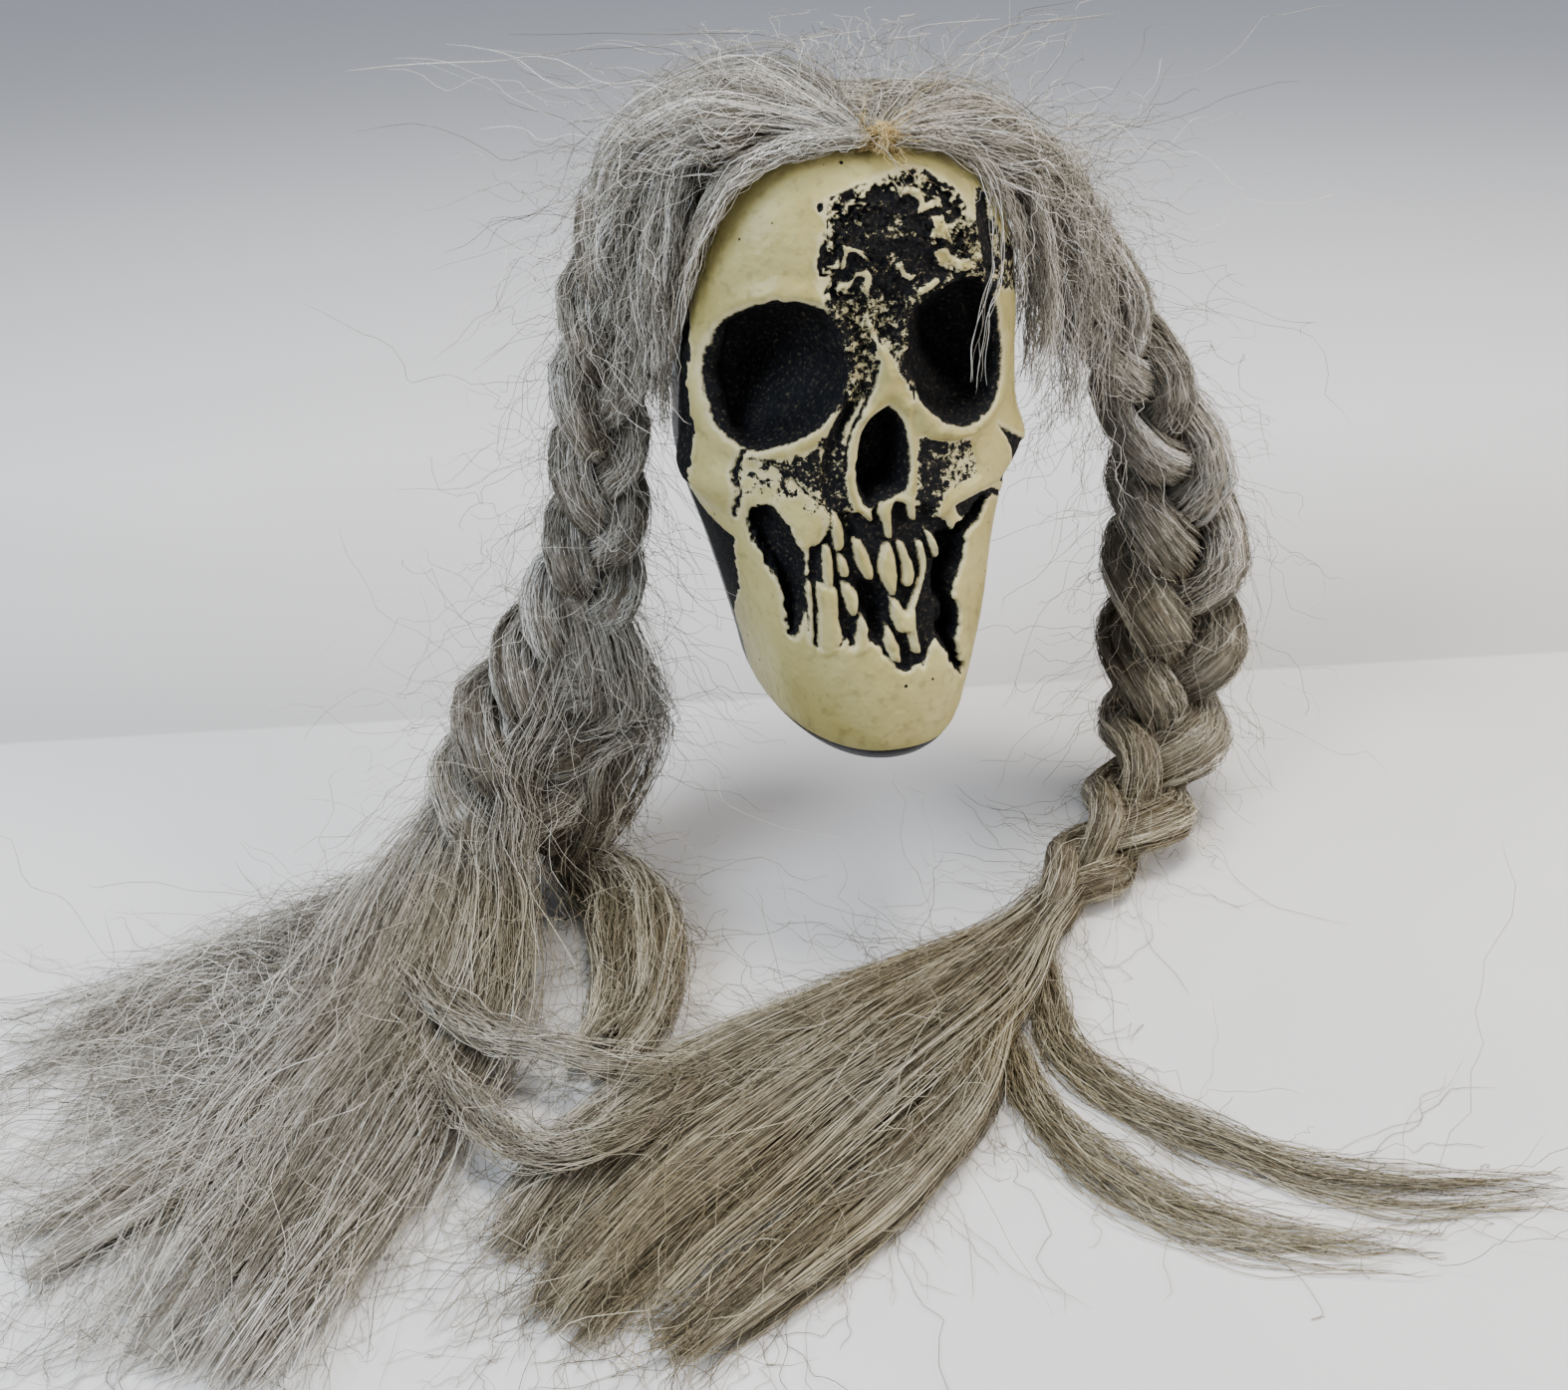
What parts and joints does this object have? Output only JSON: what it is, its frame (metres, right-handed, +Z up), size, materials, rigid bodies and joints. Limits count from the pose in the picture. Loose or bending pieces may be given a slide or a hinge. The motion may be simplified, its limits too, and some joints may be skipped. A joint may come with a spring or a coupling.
{
  "type": "skull decoration",
  "caption": "Hollow seasonal skull with an aged bone-coloured face, a black rear shell and a long hank of pale synthetic hair, braided at each side and spread out at its ends.",
  "frame": {"origin": "centre of the neck opening, in the plane of the flat base", "axes": "+Z up, -Y the way the face looks, +X towards the skull's own left, which is the right of the picture"},
  "size_m": [0.4216, 0.2733, 0.2616],
  "materials": {
    "bone_paint": "satin cream paint rubbed over black, worn away in the hollows",
    "black_shell": "satin",
    "glue": "hard yellowed glue",
    "thread": "wound thread stiffened with glue",
    "hair": "glossy ash-silver synthetic hair"
  },
  "bodies": {
    "root": {"face_shell": "bone_paint", "rear_shell": "black_shell", "glue_bead": "glue", "parting_knot": "thread", "crown_hair_left": "hair", "temple_lock_left": "hair", "crown_hair_right": "hair", "temple_lock_right": "hair", "left_braid_strand_1": "hair", "left_braid_strand_2": "hair", "left_braid_strand_3": "hair", "right_braid_strand_1": "hair", "right_braid_strand_2": "hair", "right_braid_strand_3": "hair", "left_tail_main": "hair", "left_curl_lock": "hair", "left_tail_side": "hair", "left_tail_fan": "hair", "right_tail_upper": "hair", "right_tail_middle": "hair", "right_tail_lower": "hair", "right_wisp_upper": "hair", "right_wisp_lower": "hair", "left_arc_upper": "hair", "left_arc_lower": "hair"}
  },
  "joints": []
}
